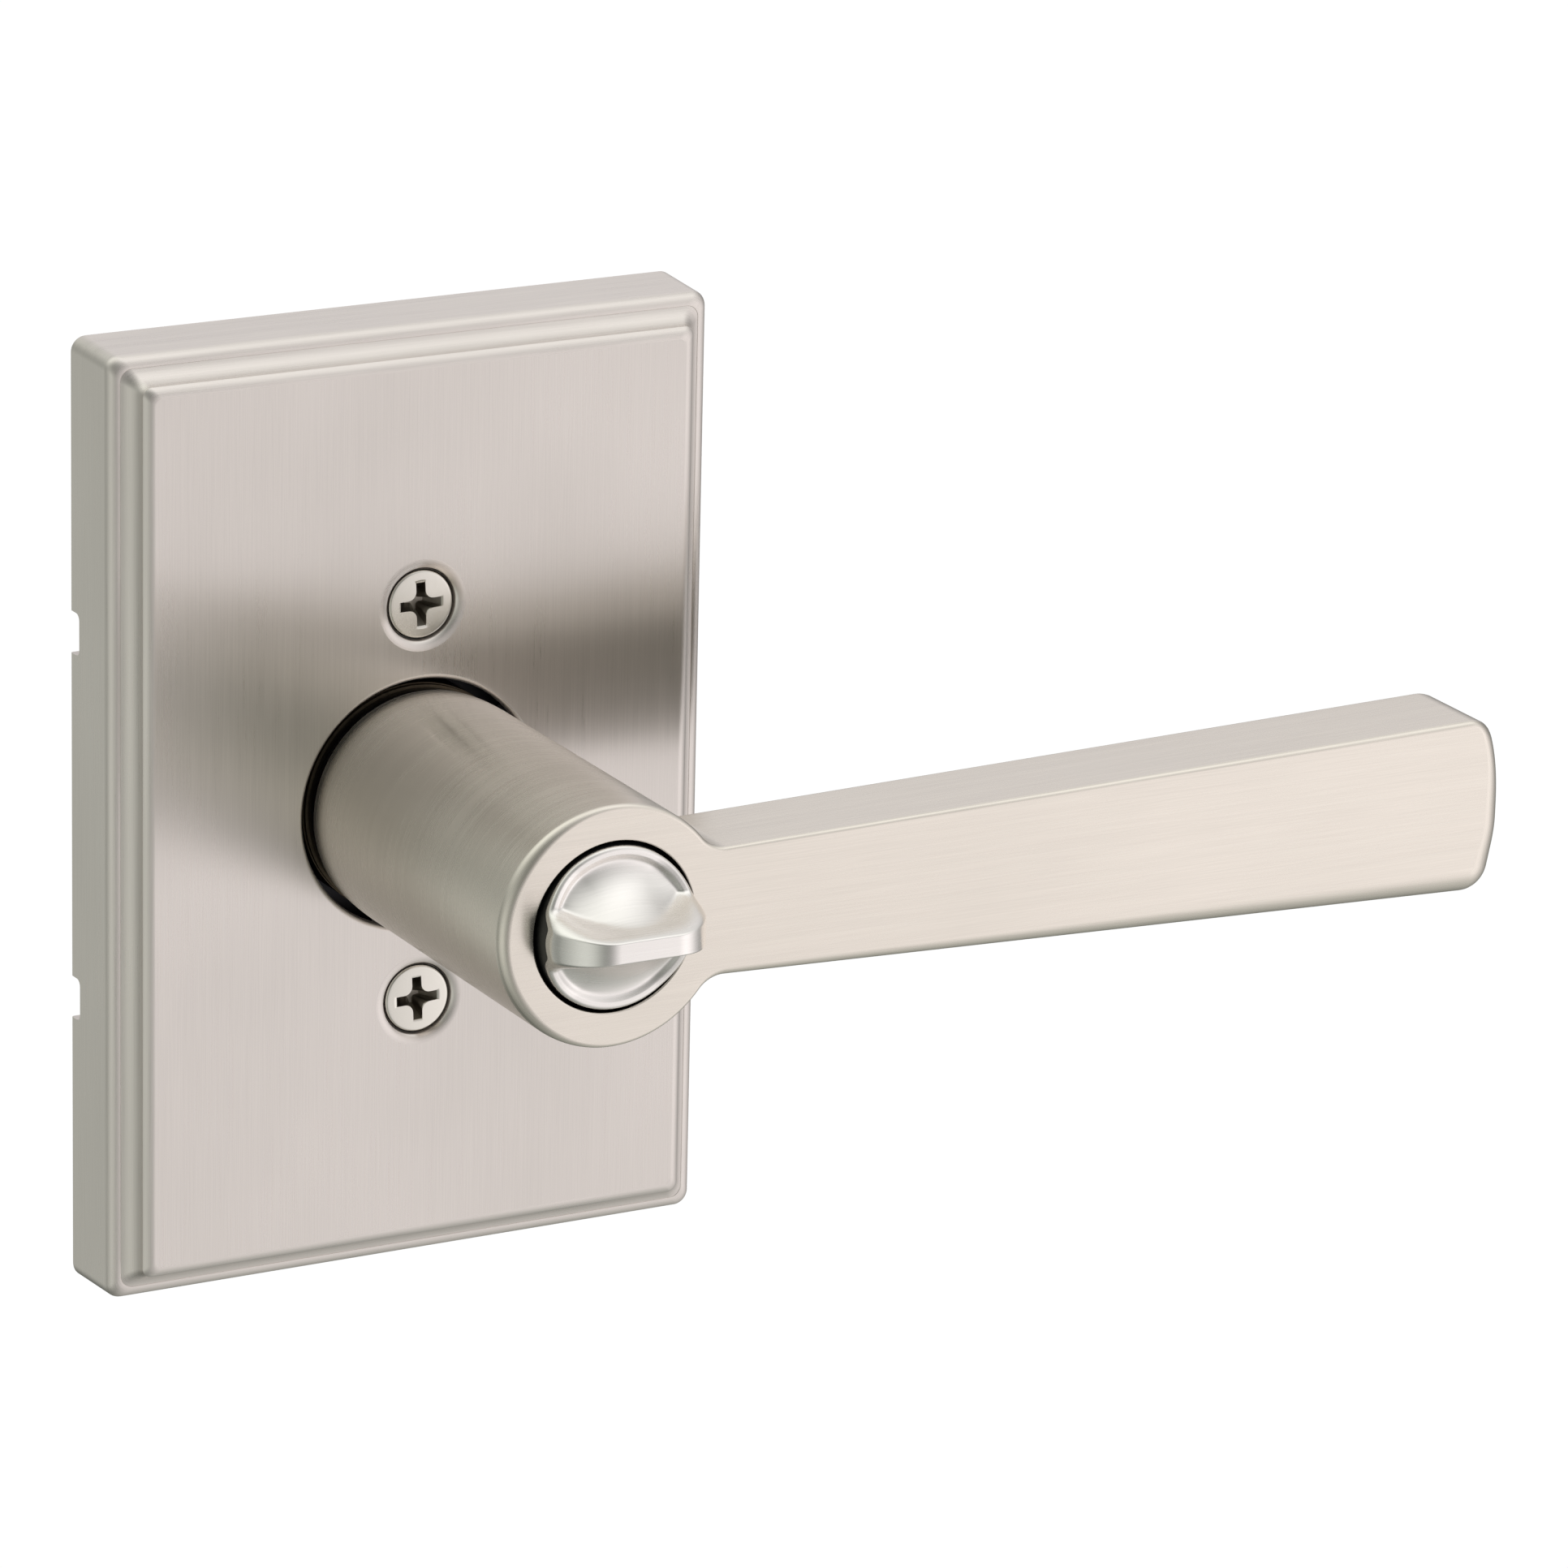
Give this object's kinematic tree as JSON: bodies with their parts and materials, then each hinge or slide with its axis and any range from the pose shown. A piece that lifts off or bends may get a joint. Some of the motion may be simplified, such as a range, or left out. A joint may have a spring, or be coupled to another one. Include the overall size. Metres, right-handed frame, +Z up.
{
  "type": "door lever handle",
  "caption": "Inside half of a privacy lever set: tapering lever on a round shank, turn button in its end, tall moulded rectangular rose, return spring, lock bar and through screws.",
  "frame": {"origin": "on the lever's turning axis, in the plane of the door's face", "axes": "+Z up the door; +Y into the door, along the turning axis, so the room is on the -Y side; +X along the lever at rest"},
  "size_m": [0.1393, 0.1092, 0.1016],
  "materials": {
    "satin_nickel": "satin nickel plate, brushed upright",
    "lever_nickel": "satin nickel plate, brushed along the blade",
    "button_nickel": "bright satin nickel plate",
    "screw_nickel": "nickel plate, smooth",
    "zinc_steel": "bright zinc plate",
    "sintered_bronze": "oiled sintered bronze",
    "spring_steel": "black oxide",
    "acetal": "moulded, matte"
  },
  "bodies": {
    "rose_side": {"rose": "satin_nickel", "mounting_plate": "zinc_steel", "screw_spacers": "zinc_steel", "mounting_screws": "screw_nickel", "bearing_collar": "zinc_steel", "front_bushing": "sintered_bronze", "spring_housing": "zinc_steel", "rear_bushing": "sintered_bronze", "rivets": "zinc_steel", "return_spring": "spring_steel"},
    "lever_side": {"lever": "lever_nickel", "drive_tube": "zinc_steel", "spring_driver": "zinc_steel", "spindle_socket": "zinc_steel", "socket_pins": "spring_steel", "thrust_washer": "sintered_bronze", "retaining_ring": "spring_steel", "lever_set_screw": "spring_steel", "button_sleeve": "acetal", "wave_washer": "spring_steel"},
    "button_side": {"turn_button": "button_nickel", "lock_bar": "zinc_steel", "bar_pin": "spring_steel", "button_clip": "spring_steel"}
  },
  "joints": [
    {"name": "lever_turn", "type": "hinge", "parent": "rose_side", "child": "lever_side", "pos_m": [0, 0, 0], "axis": [0, 1, 0], "range_deg": [-50, 50], "stiffness_Nm_per_rad": 1.6, "springref_deg": -3.44, "deforming": ["return_spring"]},
    {"name": "button_turn", "type": "hinge", "parent": "lever_side", "child": "button_side", "pos_m": [0, 0, 0], "axis": [0, 1, 0], "range_deg": [0, 90]}
  ]
}
